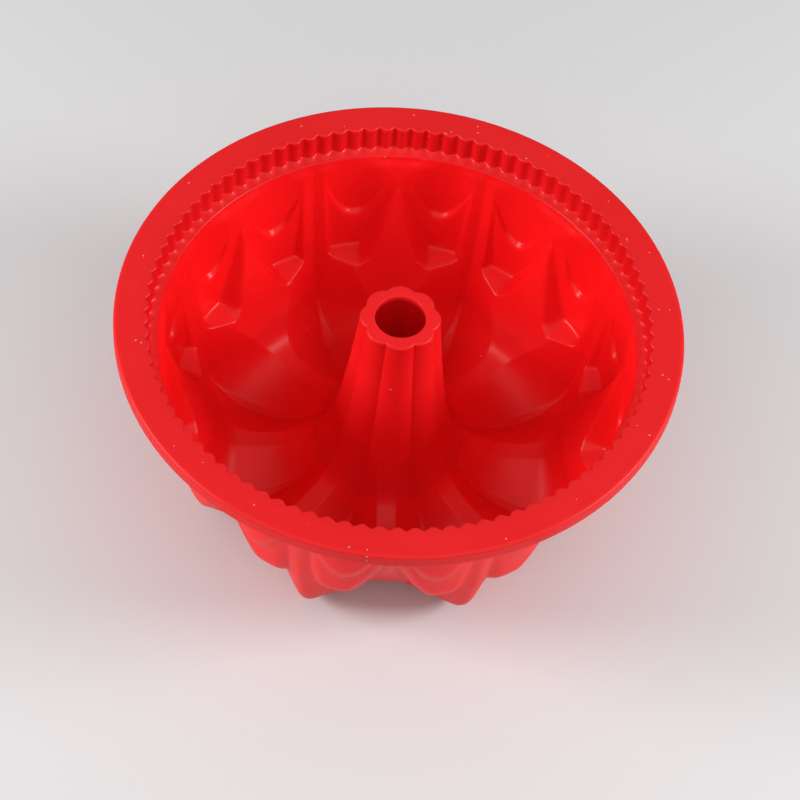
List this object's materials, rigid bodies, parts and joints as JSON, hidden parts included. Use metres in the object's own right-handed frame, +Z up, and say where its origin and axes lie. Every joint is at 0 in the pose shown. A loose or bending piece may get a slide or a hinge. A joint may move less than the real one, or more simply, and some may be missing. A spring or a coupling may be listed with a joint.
{
  "type": "bundt pan",
  "caption": "Round fluted ring cake mould in flexible silicone, with a hollow centre tube, a lobed and scalloped wall, a ribbed collar and a flat rim with a turned-down lip.",
  "frame": {"origin": "on the resting plane, straight below the centre of the tube", "axes": "+Z up along the tube's axis, out of the open top; +X through a crest between two lobes"},
  "size_m": [0.24, 0.24, 0.105],
  "materials": {
    "silicone_rim": "satin, slightly dusty",
    "silicone_collar": "satin",
    "silicone_body": "smooth satin gloss, lightly translucent",
    "silicone_tube": "smooth satin gloss"
  },
  "bodies": {
    "root": {"rim_lip": "silicone_rim", "rim_flange": "silicone_rim", "ribbed_collar": "silicone_collar", "lobed_wall": "silicone_body", "channel_floor": "silicone_body", "centre_tube": "silicone_tube", "tube_crown": "silicone_tube"}
  },
  "joints": []
}
